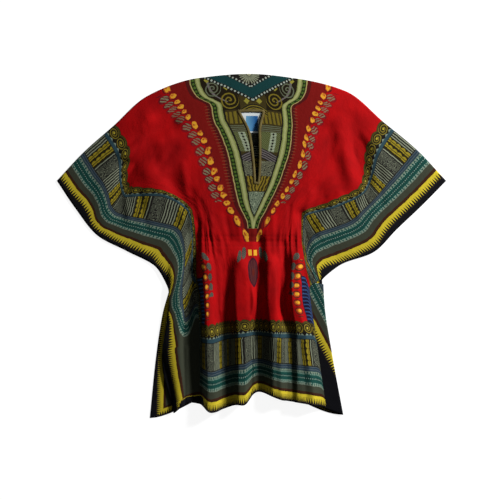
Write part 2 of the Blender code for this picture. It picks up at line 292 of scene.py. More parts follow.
# Wide swells and hollows of the sleeves.
SWELL = columns(FOLD_COLUMNS, (
    (-186, 286, -306, 238, -6, 19), (-196, 258, -296, 214, 7, 18),
    (-228, 198, -292, 186, -3, 14), (-214, 236, -200, 176, 4, 15),
    (-300, 190, -306, 80, -2, 16), (-180, 150, -152, 100, -3, 20),
    (-145, 122, -138, 50, 5, 15), (-250, 300, -300, 268, 4, 22),
    (-232, 170, -200, 120, 5, 22), (164, 262, 178, 190, -3, 24),
    (250, 240, 272, 150, -3, 20), (222, 250, 222, 180, 2, 22),
    (280, 200, 296, 130, 2, 18), (160, 130, 132, 60, -4, 20),
))

# How far the print's middle lies to the right of the cloth's middle, by drop.
PRINT_DRIFT = ((0, 0), (50, 3), (99, 6), (177, 9), (255, 5), (320, 5), (390, 2), (440, 0))
DRIFT_SIDES = (150, 300)
# Where the border's inner corner at each sleeve is drawn outward, by drop and by distance from the middle.
CORNER_DROP = 116.0
CORNER_SIDE = 385.0
CORNER_REACH = 48.0
LEFT_PULL = 26.0
RIGHT_PULL = 12.0
# How far the border's outer bands lie out toward the cuffs, by drop. It fades inward between two depths.
LEFT_CUFF = (
    (0, 12), (50, 9), (90, 3), (108, 4), (132, 12), (150, 12), (170, 9), (210, 11),
    (270, 10.5), (290, 10), (315, 15), (335, 14.5), (350, 11), (390, 6), (430, 0),
)
RIGHT_CUFF = (
    (0, 9), (50, 8.5), (150, 6), (190, 9), (215, 13), (250, 12.5), (290, 16.5), (312, 17),
    (332, 13.5), (350, 7), (390, 2), (430, 0),
)
CUFF_DEPTHS = (70.0, 170.0)

# The skirt's relief from its left edge to its right, at four levels below the waist. Its ridges and troughs
# drift sideways and change depth from level to level.
RELIEF_LEVELS = (-68.0, -127.0, -221.0, -362.0)
RELIEF = columns("x_1 z_1  x_2 z_2  x_3 z_3  x_4 z_4", (
    (-196, 3, -202, 3, -210, 3, -184, 3), (-190, 9, -196, 9, -202, 10, -179, 9),
    (-177, 13, -179, 13, -182, 13, -171, 12), (-166, 13, -168, 13, -168, 14, -163, 12),
    (-152, 6, -156, 3, -159, 2, -154, 4), (-133, 4, -126, 2, -121, 2, -121, 3),
    (-121, 14, -114, 20, -112, 22, -112, 18), (-107, 25, -105, 32, -102, 34, -100, 30),
    (-93, 24, -93, 28, -88, 30, -83, 26), (-76, 14, -76, 10, -72, 7, -69, 8),
    (-58, 13, -58, 9, -53, 4, -51, 6), (-34, 26, -34, 29, -29, 31, -29, 29),
    (-6, 27, 4, 30, -13, 31, -15, 28), (13, 13, 15, 8, 1, 4, 1, 4),
    (22, 13, 22, 8, 20, 2, 22, 3), (43, 28, 39, 29, 53, 31, 53, 28),
    (58, 28, 58, 32, 67, 30, 69, 27), (69, 13, 69, 4, 83, 14, 86, 17),
    (83, 11, 81, 4, 93, 14, 95, 17), (95, 21, 95, 27, 109, 26, 109, 25),
    (107, 22, 107, 28, 126, 26, 142, 25), (119, 13, 121, 16, 140, 14, 159, 12),
    (128, 10, 133, 14, 147, 9, 168, 6), (142, 8, 140, 5, 154, 4, 175, 3),
))
RELIEF_START = (-26.0, -74.0)

# Places on the print that rows of the relief table hold, at four levels, from the middle out.
MARK_LEVELS = (-68.0, -108.0, -184.0, -362.0)
# At the two lower levels rows 3 to 5 hold the border's dark brown and gray bands across the deep left
# trough. The fold takes up the rest of the border, and the dark print there is painted shade.
LEFT_MARKS = (
    (11.5, 30, 34, 41, 52), (10.5, 76, 78, 80, 84), (7.6, 300, 297, 292, 284),
    (5, 372, 402, 499, 501), (4, 430, 445, 502, 506), (3, 472, 480, 505, 518),
)
RIGHT_MARKS = (
    (15.0, 60, 69, 84, 106), (19.5, 306, 302, 295, 284),
)
HEM_WIDTH = 16.0
HEM_LOBE = 18.0
HEM_LOBE_MIDDLE = -14.0
HEM_LOBE_HALF = 17.0
HEM_LOBE_DROP = 640.0
HEM_RISE = 0.7
# How far the skirt's border is raised, and between which drops and from which side on.
RING_RISE = 12.0
RING_DROPS = (480, 590)
RING_FADES = (680, 785)
RING_SIDES = (-190, -130)
# In the deep trough at the left the hem's print is shifted so that its black edge shows in place of the
# yellow band: painted shade.
HEM_SHADE_SHIFT = 24.0
HEM_SHADE_STARTS = (-170, -160)
HEM_SHADE_ENDS = (-116, -110)
HEM_SHADE_DROPS = (757, 761)
CASING_ROWS = (WAIST - 11, WAIST, WAIST + 11)
CASING_GROOVE = 0.8
TROUGH_SHARE = 0.03
TROUGH_HEIGHT = 7.0
HIDDEN_EDGE = 48.0

# The fine front: columns at each side of the slit, columns between its edges, and rows.
SIDE_COLUMNS = 106
SLIT_CELLS = 6
FINE_WALL = 1.1
SKIRT_EDGE = 352.0


def front_rows():
    """Drops of the fine front's rows, with one at each end of the slit."""
    above = np.linspace(0, SLIT_TOP, 25)
    beside = np.linspace(SLIT_TOP, SLIT_END, 44)[1:]
    below = np.linspace(SLIT_END, WAIST + 60, 54)[1:]
    skirt = np.linspace(WAIST + 60, LENGTH, 86)[1:]
    return np.concatenate([above, beside, below, skirt])


def front_across(drop):
    """Distances across the cloth of one row's columns."""
    left, right = slit_edges(drop)
    beside = [np.linspace(*ends, SIDE_COLUMNS + 1) for ends in ((-HALF_WIDTH, left), (right, HALF_WIDTH))]
    return np.concatenate([beside[0], np.linspace(left, right, SLIT_CELLS + 1)[1:-1], beside[1]])


def gather_rows(count, seed):
    """Small gathers at the waist, uneven in place, height and reach."""
    draw = np.random.default_rng(seed)
    places = np.linspace(-430, 430, count) + draw.uniform(-7, 7, count)
    heights = draw.uniform(0.3, 1.3, count) * draw.choice([-1, 1], count)
    reaches_up = draw.uniform(14, 46, count)
    reaches_down = draw.uniform(20, 90, count)
    return list(zip(places, heights, reaches_up, reaches_down, draw.uniform(8, 15, count)))


SMALL_GATHERS = gather_rows(52, 11)


def small_heights(across, drop, x, y):
    """What the fine front's own creases, gathers, hem and waist casing add to its height."""
    total = line_heights(CREASE, x, y) + line_heights(SWELL, x, y)
    total = total + gather_heights(SMALL_GATHERS, across, drop, 0.01)
    hem = HEM_RISE * ramp(drop, LENGTH - HEM_WIDTH - 2, LENGTH - HEM_WIDTH + 1)
    groove = -CASING_GROOVE * sum(bell(drop - row, 2.0) for row in CASING_ROWS)
    return total * ramp(drop, 6, 60) * ramp(HALF_WIDTH - np.abs(across), 4, 50) + hem + groove


def relief_rows(y):
    """The relief table's places and heights at one level."""
    levels = [-level for level in RELIEF_LEVELS]
    marks = [[RELIEF[f"{axis}_{k}"] for k in (1, 2, 3, 4)] for axis in "xz"]
    at = np.clip(-y, levels[0], levels[-1])
    k = int(np.clip(np.searchsorted(levels, at, side="right") - 1, 0, 2))
    part = float(ramp((at - levels[k]) / (levels[k + 1] - levels[k]), 0, 1))
    return [values[k] + part * (values[k + 1] - values[k]) for values in marks]


def skirt_heights(x, y, z):
    """The front's height in the skirt, which its relief table gives below the waist."""
    share = ramp(-y, -RELIEF_START[0], -RELIEF_START[1])
    if share.max() == 0:
        return z
    result = z.copy()
    for k in np.nonzero(share)[0]:
        result[k] += share[k] * (FRONT_LOW + float(smooth(*relief_rows(float(y[k])), x[k])) - z[k])
    return result


def print_run(steps, heights, marks):
    """Places on the print along one side of a row, from the middle out.

    Between marks, which are pairs of a column and its place, the print runs true along the cloth, and what
    is left of it goes into the troughs.
    """
    pulls = TROUGH_SHARE + bell(heights - FRONT_LOW, TROUGH_HEIGHT)
    run = []
    for (first, start), (last, end) in zip(marks, marks[1:]):
        part = steps[first:last]
        spare = end - start - part.sum()
        pull = pulls[first:last] * part if spare > 0 else part
        run.append(start + np.cumsum(part + spare * pull / pull.sum()))
    return np.concatenate(run)


def side_marks(x, y, table, edge, hidden):
    """Marks of one side of a row, from the middle column out to its edge."""
    marks = [(0, 0.0)]
    level = float(np.mean(y))
    places, _ = relief_rows(level)
    for row, *held in table:
        at = np.interp(row, np.arange(len(places)), places)
        column = int(np.argmin(abs(x - at)))
        place = float(smooth([-at for at in MARK_LEVELS], held, -level))
        if place > HALF_WIDTH - 100:
            place -= 0.2 * hidden
        marks.append((max(column, marks[-1][0] + 1), place))
    return marks + [(len(x) - 1, edge)]


def printed_across(across, points, drop):
    """Where on the print the columns of one row lie, which is uneven in the skirt."""
    share = float(ramp(drop, WAIST - 25, WAIST + 60))
    if share == 0:
        return across
    hidden = HIDDEN_EDGE * float(ramp(drop, WAIST - 45, WAIST) * ramp(LENGTH - 262 - drop, 0, 50))
    steps = np.linalg.norm(np.diff(points, axis=0), axis=1)
    heights = (points[1:, 2] + points[:-1, 2]) / 2
    middle = int(np.argmin(abs(across)))
    x, y = points[:, 0], points[:, 1]
    marks = side_marks(x[middle:], y[middle:], RIGHT_MARKS, SKIRT_EDGE, 0.0)
    right = print_run(steps[middle:], heights[middle:], marks)
    marks = side_marks(x[middle::-1], y[middle::-1], LEFT_MARKS, HALF_WIDTH - hidden, hidden)
    left = print_run(steps[:middle][::-1], heights[:middle][::-1], marks)
    run = np.concatenate([-left[::-1], [0.0], right])
    return across + share * (run - across)


def front_surface(drop, across=None):
    """One row of the fine front: its points in millimetres and its places on the print."""
    if across is None:
        across = front_across(drop)
    x, y = front_plan(across, drop)
    z = skirt_heights(x, y, front_height(across, drop, x, y))
    z = np.maximum(z + small_heights(across, drop, x, y), FRONT_LOW)
    lobe = HEM_LOBE * bell(x - HEM_LOBE_MIDDLE, HEM_LOBE_HALF) * ramp(drop, HEM_LOBE_DROP, LENGTH)
    points = np.stack([x, y - lobe, z], 1)
    ring_share = ramp(drop, *RING_DROPS) * (1 - ramp(drop, *RING_FADES))
    # Painted shade: in the deep left trough the hem's print is shifted so that its black edge hides the
    # yellow band.
    hem_shade_share = ramp(drop, *HEM_SHADE_DROPS) * (1 - ramp(x, *HEM_SHADE_ENDS))
    raised_rows = RING_RISE * ring_share * ramp(x, *RING_SIDES)
    raised_rows = raised_rows + HEM_SHADE_SHIFT * hem_shade_share * ramp(x, *HEM_SHADE_STARTS)
    side = np.abs(across)
    printed = printed_across(across, points, drop)
    drift = along(PRINT_DRIFT, drop) * (1 - ramp(side, *DRIFT_SIDES))
    from_corner = np.hypot(side - CORNER_SIDE, drop - CORNER_DROP)
    pull = np.where(across < 0, LEFT_PULL, -RIGHT_PULL) * bell(from_corner, CORNER_REACH)
    cuffs = np.where(across < 0, -along(LEFT_CUFF, drop), along(RIGHT_CUFF, drop))
    outward = cuffs * (1 - ramp(HALF_WIDTH - side, *CUFF_DEPTHS))
    return points, np.stack([printed - drift + pull - outward, drop + raised_rows], 1)


def placed(name, data):
    """A new object in the scene."""
    made = bpy.data.objects.new(name, data)
    bpy.context.scene.collection.objects.link(made)
    return made


def grid_object(name, points, places, left_out=()):
    """A mesh from a grid of points, with places on the print as its UV map, in metres."""
    rows, cols = points.shape[:2]
    index = np.arange(rows * cols).reshape(rows, cols)
    cells = [
        (index[i, j], index[i + 1, j], index[i + 1, j + 1], index[i, j + 1])
        for i in range(rows - 1)
        for j in range(cols - 1)
        if (i, j) not in left_out
    ]
    used = np.unique(np.array(cells))
    renumber = np.full(rows * cols, -1)
    renumber[used] = np.arange(len(used))
    mesh = bpy.data.meshes.new(name)
    flat = points.reshape(-1, 3)[used] * MM
    mesh.from_pydata(flat.tolist(), [], renumber[np.array(cells)].tolist())
    layer = mesh.uv_layers.new(name="cloth")
    corners = np.array(cells).reshape(-1)
    layer.uv.foreach_set("vector", (places.reshape(-1, 2)[corners] * MM).astype(np.float32).ravel())
    mesh.shade_smooth()
    return placed(name, mesh)


def thicken(piece, wall):
    """Gives a sheet its thickness about its middle."""
    thick = piece.modifiers.new("wall", "SOLIDIFY")
    thick.thickness = wall * MM
    thick.offset = 0
    return piece


def make_front():
    """The front panel with its folds."""
    drops = front_rows()
    points, places = [np.array(part) for part in zip(*map(front_surface, drops))]
    top = int(np.argmin(abs(drops - SLIT_TOP)))
    end = int(np.argmin(abs(drops - SLIT_END)))
    slit = {(i, SIDE_COLUMNS + k) for i in range(top, end) for k in range(SLIT_CELLS)}
    return thicken(grid_object("shirt_front", points, places, slit), FINE_WALL)


def back_flank(drops):
    """The back's right side below the waist, turned over its fold line and laid on top."""
    points = []
    places = []
    turns = np.radians(np.linspace(-90, 90, 10))
    inward = np.linspace(0, 1, 14)[1:]
    for drop in drops:
        at = row_at(BACK, drop)
        x, y = back_plan(np.array([HALF_WIDTH]), drop)
        round_x = x[0] + FLANK_ROUND * np.cos(turns)
        round_z = BACK_LEVEL + FLANK_ROUND * (1 + np.sin(turns))
        top = BACK_LEVEL + 2 * FLANK_ROUND
        over_x = x[0] + inward * (at["inner_x"] - x[0])
        over_y = y[0] + inward * (at["inner_y"] - y[0])
        over_z = top + inward * (FLANK_REST - top)
        row_x = np.concatenate([round_x, over_x])
        row_y = np.concatenate([np.full_like(round_x, y[0]), over_y])
        points.append(np.stack([row_x, row_y, np.concatenate([round_z, over_z])], 1))
        places.append(flank_places(row_x, row_y))
    return np.array(points), np.array(places)


# The corner where the print on the turned flank starts, and the slope of its border there.
FLANK_CORNER = (143.4, -185.7)
FLANK_ACROSS = (0.884, 0.467)
FLANK_DEPTH = 29.0
FLANK_DROP = 420.0


def flank_places(x, y):
    """Where on the print points of the turned flank lie: its border runs slanting down it."""
    from_x = x - FLANK_CORNER[0]
    from_y = y - FLANK_CORNER[1]
    depth = FLANK_DEPTH + from_x * FLANK_ACROSS[0] + from_y * FLANK_ACROSS[1]
    drop = FLANK_DROP + from_x * FLANK_ACROSS[1] - from_y * FLANK_ACROSS[0]
    return np.stack([HALF_WIDTH - depth, drop], 1)


# Behind the slit the back shows a darker patterned part of the border print in place of its own print:
# painted shade.
SLIT_SHADE_PLACE = 425.0
SLIT_SHADE_HALF = 60.0
SLIT_SHADE_TOP = (60, 70)
SLIT_SHADE_END = 290.0
# How the print runs on the corner of the back that shows: along its edge, and slanting with the drop.
CORNER_FADE = 120.0
CORNER_STRETCH = 1.15
CORNER_SLANT = 0.07


def back_panel(drops):
    """The flat part of the back. The print runs true from its side edge at the lower left, which shows."""
    across = np.linspace(-HALF_WIDTH, HALF_WIDTH, 141)
    points = []
    places = []
    for drop in drops:
        x, y = back_plan(across, drop)
        points.append(np.stack([x, y, np.full_like(x, BACK_LEVEL)], 1))
        share = ramp(drop, UNDERARM, WAIST) * ramp(-across, 0, CORNER_FADE)
        from_edge = -HALF_WIDTH + CORNER_STRETCH * (x - x[0]) + CORNER_SLANT * (LENGTH + 30 - drop)
        # Painted shade: behind the slit the print is moved to a darker patterned part of the border.
        facing = ramp(drop, *SLIT_SHADE_TOP) * ramp(SLIT_SHADE_END - drop, 0, 10)
        facing = facing * ramp(SLIT_SHADE_HALF - np.abs(across), 0, 8)
        printed = across + share * (from_edge - across)
        printed = printed + facing * (SLIT_SHADE_PLACE - printed)
        places.append(np.stack([printed, np.full_like(x, drop)], 1))
    return np.array(points), np.array(places)


def make_back():
    """The back panel, flat, with its right side below the waist turned forward."""
    above = np.linspace(0, WAIST + 12, 60)
    below = np.linspace(WAIST + 12, LENGTH, 60)
    panel = grid_object("shirt_back", *back_panel(np.concatenate([above, below[1:]])))
    flank = grid_object("flank", *back_flank(below))
    joined = bmesh.new()
    joined.from_mesh(panel.data)
    joined.from_mesh(flank.data)
    bmesh.ops.remove_doubles(joined, verts=joined.verts, dist=0.02 * MM)
    joined.to_mesh(panel.data)
    joined.free()
    bpy.data.objects.remove(flank)
    panel.data.shade_smooth()
    return thicken(panel, BACK_WALL - 0.3)


# Trims
BINDING_WIDTH = 6.0
BINDING_RISE = 1.3
LABEL_WIDTH = 50.0
LABEL_LENGTH = 54.0
LABEL_WALL = 0.8
LABEL_MIDDLE = -2.0
LABEL_TUCK = 5.0


def make_binding():
    """The narrow turned facing round the slit, rounded across."""
    cells = 8
    lead = np.linspace(-BINDING_WIDTH, 0, cells + 1)
    beside = np.linspace(SLIT_TOP, SLIT_END, 60)[1:]
    drops = np.concatenate([SLIT_TOP + lead, beside, SLIT_END - lead[::-1][1:]])
    points = []
    for drop in drops:
        left, right = slit_edges(min(max(drop, SLIT_TOP), SLIT_END))
        between = np.linspace(left, right, SLIT_CELLS + 1)[1:-1]
        across = np.concatenate([left + lead, between, right - lead[::-1]])
        off_side = np.maximum(np.maximum(left - across, across - right), 0)
        off_end = max(SLIT_TOP - drop, drop - SLIT_END, 0)
        off = np.clip(np.hypot(off_side, off_end) * 2 / BINDING_WIDTH - 1, -1, 1)
        row, _ = front_surface(drop, across)
        row[:, 2] += FINE_WALL / 2 + 0.25 + BINDING_RISE * np.sqrt(1 - off**2)
        points.append(row)
    points = np.array(points)
    first = cells
    last = len(drops) - 1 - cells
    slit = {(i, cells + k) for i in range(first, last) for k in range(SLIT_CELLS)}
    return thicken(grid_object("neck_binding_tape", points, points[:, :, :2], slit), 0.5)


def make_label():
    """The plain woven label under the slit, curving down to the back."""
    middle = np.array([0.0])
    x_mid, y_top = front_plan(middle, SLIT_TOP)
    top = front_height(middle, SLIT_TOP, x_mid, y_top)[0] - FRONT_WALL / 2
    high = top - SEAM_GAP - LABEL_WALL / 2 - 0.3
    low = BACK_WALL + SEAM_GAP + LABEL_WALL / 2
    parts = np.linspace(0, 1, 22)
    sides = np.linspace(-0.5, 0.5, 17)
    height = low + (high - low) * (1 - ramp(parts, 0, 0.75))
    x = LABEL_MIDDLE + LABEL_WIDTH * sides
    y = y_top[0] + LABEL_TUCK - parts * LABEL_LENGTH
    bow = 0.5 * np.outer(np.sin(parts * math.pi), 1 - (2 * sides) ** 2)
    points = np.stack([np.tile(x, (22, 1)), np.tile(y[:, None], (1, 17)), height[:, None] + bow], 2)
    return thicken(grid_object("neck_label_cloth", points, points[:, :, :2]), 0.5)


def stitch(start, end, out, radius):
    """One stitch as a small rounded thread between two points: its vertices and faces."""
    along = (end - start).normalized()
    side = along.cross(out).normalized() * radius
    up = out * radius
    lift = out * radius * 0.4
    verts = [start - out * radius * 0.3]
    for part in (0.22, 0.78):
        middle = start.lerp(end, part) + lift
        verts += [middle + side, middle + up, middle - side, middle - up]
    verts.append(end - out * radius * 0.3)
    faces = []
    for k in range(4):
        n = (k + 1) % 4
        faces += [(0, 1 + n, 1 + k), (1 + k, 1 + n, 5 + n, 5 + k), (5 + k, 5 + n, 9)]
    return verts, faces


STITCH_PITCH = 4.2
STITCH_LENGTH = 2.8
THREAD_RADIUS = 0.28


def sewn_lines(name, lines):
    """Rows of stitches along lines of points on the cloth, each with its outward directions."""
    verts = []
    faces = []
    for points, outs in lines:
        lengths = np.concatenate([[0], np.cumsum(np.linalg.norm(np.diff(points, axis=0), axis=1))])
        starts = np.arange(1.0, lengths[-1] - STITCH_LENGTH, STITCH_PITCH)
        for begin in starts:
            ends = []
            for at in (begin, begin + STITCH_LENGTH):
                place = [np.interp(at, lengths, points[:, k]) for k in range(3)]
                ends.append(Vector(place) * MM)
            out = Vector([np.interp(begin, lengths, outs[:, k]) for k in range(3)]).normalized()
            new_verts, new_faces = stitch(ends[0], ends[1], out, THREAD_RADIUS * MM)
            faces += [tuple(k + len(verts) for k in face) for face in new_faces]
            verts += new_verts
    mesh = bpy.data.meshes.new(name)
    mesh.from_pydata(verts, [], faces)
    mesh.shade_smooth()
    return placed(name, mesh)


HEM_REACH = HALF_WIDTH - 6
CUFF_INSET = 12.0
TAPE_REACH = 7.2


def on_front(across, drop):
    """Points on the outside of the front at one drop, and their outward directions."""
    points, _ = front_surface(drop, across)
    beside, _ = front_surface(drop, across + 0.8)
    below, _ = front_surface(drop + 0.8, across)
    outs = np.cross(below - points, beside - points)
    outs /= np.linalg.norm(outs, axis=1)[:, None]
    return points + outs * (FINE_WALL / 2), outs


def row_line(drop):
    """A line of points across the front at one drop."""
    return on_front(np.linspace(-HEM_REACH, HEM_REACH, 700), drop)


def down_lines(drops, ends_at):
    """Two lines of points down the front, whose places across it are given for each drop."""
    rows = [on_front(np.array(ends_at(drop)), drop) for drop in drops]
    return [tuple(np.array([row[part][k] for row in rows]) for part in (0, 1)) for k in (0, 1)]


def cuff_ends(drop):
    """Where the stitches of both cuffs lie."""
    return CUFF_INSET - HALF_WIDTH, HALF_WIDTH - CUFF_INSET


def tape_ends(drop):
    """Where the stitches of the slit's facing lie, on its outer edge."""
    left, right = slit_edges(min(max(drop, SLIT_TOP), SLIT_END))
    return left - TAPE_REACH, right + TAPE_REACH


# Materials
SOFT_EDGE = 0.9


class Value:
    """A number in a material's nodes, so that a printed pattern reads like a sum."""

    def __init__(self, tree, socket):
        self.tree = tree
        self.socket = socket

    def made(self, operation, *others, clamp=False):
        node = self.tree.nodes.new("ShaderNodeMath")
        node.operation = operation
        node.use_clamp = clamp
        for socket, given in zip(node.inputs, (self, *others)):
            if isinstance(given, Value):
                self.tree.links.new(given.socket, socket)
            else:
                socket.default_value = given
        return Value(self.tree, node.outputs[0])

    def __add__(self, other):
        return self.made("ADD", other)

    def __sub__(self, other):
        return self.made("SUBTRACT", other)

    def __rsub__(self, other):
        return self.made("MULTIPLY_ADD", -1.0, other)

    def __mul__(self, other):
        return self.made("MULTIPLY", other)

    __and__ = __mul__

    def __or__(self, other):
        return self.made("MAXIMUM", other)

    def __abs__(self):
        return self.made("ABSOLUTE")

    def plus(self, other, times):
        """Itself and another value times a number."""
        return other.made("MULTIPLY_ADD", times, self)

    def wrap(self, period):
        return self.made("WRAP", period, 0.0)

    def swing(self, period):
        """Up from 0 to half a period and down again."""
        return self.made("PINGPONG", period / 2)

    def above(self, edge):
        return self.made("MULTIPLY_ADD", 1 / SOFT_EDGE, 0.5 - edge / SOFT_EDGE, clamp=True)

    def below(self, edge):
        return self.made("MULTIPLY_ADD", -1 / SOFT_EDGE, 0.5 + edge / SOFT_EDGE, clamp=True)

    def within(self, low, high):
        return abs(self - (low + high) / 2).below((high - low) / 2)


def far(one, other):
    """Length of the line that two values are the two sides of."""
    return one.made("MULTIPLY_ADD", one, other.made("MULTIPLY", other)).made("SQRT")


def ink(red, green, blue):
    """A colour as a screen shows it, from 0 to 255, as the linear values that a shader takes."""
    parts = [part / 255 for part in (red, green, blue)]
    return tuple(p / 12.92 if p <= 0.04045 else ((p + 0.055) / 1.055) ** 2.4 for p in parts) + (1.0,)


class Dye:
    """A cloth's colour, built up by laying one motif over another."""

    def __init__(self, name):
        self.material = bpy.data.materials.new(name)
        self.material.use_nodes = True
        self.tree = self.material.node_tree
        self.shader = self.tree.nodes["Principled BSDF"]
        self.colour = None

    def node(self, kind, **settings):
        made = self.tree.nodes.new(kind)
        for key, value in settings.items():
            setattr(made, key, value)
        return made

    def value(self, socket):
        return Value(self.tree, socket)

    def lay(self, mask, over, under=None):
        """Puts a colour over the one so far, or over a given one, where the mask is 1."""
        mix = self.node("ShaderNodeMix", data_type="RGBA")
        self.tree.links.new(mask.socket, mix.inputs["Factor"])
        below = self.colour if under is None else under
        for given, socket in ((below, mix.inputs[6]), (over, mix.inputs[7])):
            if isinstance(given, tuple):
                socket.default_value = ink(*given)
            else:
                self.tree.links.new(given, socket)
        if under is None:
            self.colour = mix.outputs[2]
        return mix.outputs[2]

    def split(self, socket):
        """The first two parts of a vector, as values."""
        parts = self.node("ShaderNodeSeparateXYZ")
        self.tree.links.new(socket, parts.inputs[0])
        return self.value(parts.outputs[0]), self.value(parts.outputs[1])

    def noise(self, vector, scale, detail, roughness=0.5):
        made = self.node("ShaderNodeTexNoise")
        self.tree.links.new(vector, made.inputs["Vector"])
        made.inputs["Scale"].default_value = scale
        made.inputs["Detail"].default_value = detail
        made.inputs["Roughness"].default_value = roughness
        return made

    def curve(self, value, knots, height=200, reach=400.0):
        """A smooth curve through (value, result) knots, both from 0 up to reach and height."""
        made = self.node("ShaderNodeFloatCurve")
        line = made.mapping.curves[0]
        scaled = [(at / reach, result / height) for at, result in knots]
        line.points[0].location = scaled[0]
        line.points[1].location = scaled[-1]
        for at, result in scaled[1:-1]:
            line.points.new(at, result)
        made.mapping.update()
        self.tree.links.new((value * (1 / reach)).socket, made.inputs["Value"])
        return self.value(made.outputs[0]) * height

    def bands(self, value, rows, reach):
        """Plain bands of colour, each from its own depth on."""
        made = self.node("ShaderNodeValToRGB")
        made.color_ramp.interpolation = "CONSTANT"
        stops = made.color_ramp.elements
        while len(stops) < len(rows):
            stops.new(0.5)
        for stop, (depth, *colour) in zip(stops, rows):
            stop.position = depth / reach
            stop.color = ink(*colour)
        self.tree.links.new((value * (1 / reach)).socket, made.inputs["Fac"])
        return made.outputs["Color"]

    def finish(self, roughness, bump=None, strength=0.5, distance=0.001):
        """Connects the colour and the relief to the shader."""
        if self.colour is not None:
            self.tree.links.new(self.colour, self.shader.inputs["Base Color"])
        self.shader.inputs["Roughness"].default_value = roughness
        self.shader.inputs["Specular IOR Level"].default_value = 0.06
        if bump is not None:
            relief = self.node("ShaderNodeBump")
            relief.inputs["Strength"].default_value = strength
            relief.inputs["Distance"].default_value = distance
            self.tree.links.new(bump.socket, relief.inputs["Height"])
            self.tree.links.new(relief.outputs["Normal"], self.shader.inputs["Normal"])
        return self.material


# Colours of the print, as a screen shows them from 0 to 255
RED = (160, 6, 9)
DEEP_RED = (122, 4, 7)
MAROON = (78, 24, 18)
BLACK = (22, 20, 18)
PALE_GREEN = (112, 118, 66)
OLIVE = (104, 92, 28)
DARK_OLIVE = (52, 44, 18)
TEAL = (16, 50, 50)
WHITE = (140, 150, 138)
DULL_WHITE = (104, 116, 102)
GRAY_GREEN = (84, 90, 70)
MAUVE = (92, 86, 84)
PURPLE = (52, 20, 44)
GOLD = (196, 142, 38)
ORANGE = (158, 58, 22)

# The border by its depth in from the edge of the cloth, with the colour of each band from its depth on.
BORDER_DEPTH = 196.0
BORDER_HEM = 796.5
BANDS = (
    (0, 13, 13, 17), (20, 179, 161, 39), (38, 50, 27, 16), (44, 51, 54, 43),
    (57, 18, 58, 52), (87, 36, 50, 60), (90, 66, 76, 78), (91.5, 32, 46, 58),
    (95, 62, 72, 76), (96.5, 24, 30, 34), (98, 24, 22, 20), (163, 36, 58, 66),
    (172, 18, 15, 12),
)

# Half-width of the pale line round the yoke, and of the line of beads, by drop.
YOKE_LINE = (
    (0, 122), (18, 120), (42, 110), (56, 93), (70, 77), (90, 76), (108, 74), (129, 67),
    (171, 56), (207, 48), (249, 39), (284, 30), (312, 21), (358, 0), (400, 0),
)
BEAD_LINE = (
    (0, 195), (80, 158), (150, 121), (200, 109), (246, 93), (300, 69), (350, 42), (390, 16), (400, 12),
)
BEADS = (5, 28, 45, 58, 73, 87, 112, 133, 150, 176, 200, 228, 245, 266, 284, 304, 320, 344, 378)
HAND_SHAKE = 2.6
WEAVE_PITCH = 1.1


def printed_cotton(name):
    """The whole print, by its place on the cloth: a field, a yoke with a line of beads, and borders."""
    dye = Dye(name)
    places = dye.node("ShaderNodeUVMap", uv_map="cloth")
    hand = dye.noise(places.outputs["UV"], 90, 1)
    shake_x, shake_y = [part - 0.5 for part in dye.split(hand.outputs["Color"])]
    along_u, along_v = [part * 1000 for part in dye.split(places.outputs["UV"])]
    across = along_u.plus(shake_x, HAND_SHAKE)
    drop = along_v.plus(shake_y, HAND_SHAKE)
    side = abs(across)

    mottle = dye.noise(places.outputs["UV"], 11, 3, 0.6)
    patchy = dye.value(mottle.outputs[0]).made("MULTIPLY_ADD", 2.2, -0.7, clamp=True)
    dye.colour = dye.lay(patchy, DEEP_RED, RED)

    low_ornaments(dye, side, drop)
    bead_zone(dye, side, drop, shake_x, patchy)
    yoke(dye, side, drop, shake_x, shake_y)
    border(dye, side, across, drop, shake_x)

    wrinkles = dye.noise(places.outputs["UV"], 24, 4, 0.55)
    weave = along_u.swing(WEAVE_PITCH) + along_v.swing(WEAVE_PITCH)
    height = (dye.value(wrinkles.outputs[0]) * 1.6).plus(weave, 0.06)
    return dye.finish(0.82, height, 0.6, 0.0022)


def dot(one, other, radius):
    return far(one, other).below(radius)


def low_ornaments(dye, side, drop):
    """Squares and a pendant under the yoke's tip, and flowers and fans down the sides of the skirt."""
    lay = dye.lay
    pendant_drop = (drop - 466) * 0.47
    lay(dot(side, pendant_drop, 17), (56, 16, 26))
    lay(dot(side, pendant_drop, 14) & side.swing(6).above(1.3), (70, 34, 32))
    lay(dot(side, pendant_drop, 4.5), MAROON)
    for middle in (30, 46):
        sprig = dot(side - middle, (drop.plus(side, -0.5) - 404) * 0.55, 7.5)
        lay(sprig, PURPLE)
        lay(sprig & (drop + side).swing(5).above(1.2), GRAY_GREEN)
    squares = (side - 9).within(-6, 6) & (drop - 418).within(-7, 7)
    lay(squares, GOLD)

    off = side - 304 + (drop - 500).made("MINIMUM", 0) * 0.2
    on_line = drop.within(430, 580)
    step = drop.wrap(23) - 11.5
    lay(dot(step, off, 10) & on_line, MAROON)
    lay(dot(step, off, 7) & on_line, ORANGE)
    lay(dot(step + 1, off - 1, 4.4) & on_line, GOLD)
    fan = dot(step, (off + 19) * 0.8, 9) & drop.within(414, 520)
    lay(fan, PURPLE)
    lay(fan & (step + off).swing(5).above(1.2), GRAY_GREEN)
    bar = (side - 336).within(-18, 18) & drop.within(470, 600)
    lay(bar, (22, 17, 40))
    lay(bar & drop.swing(10).above(3.2) & (side - 334).within(-14, 14), (44, 68, 106))


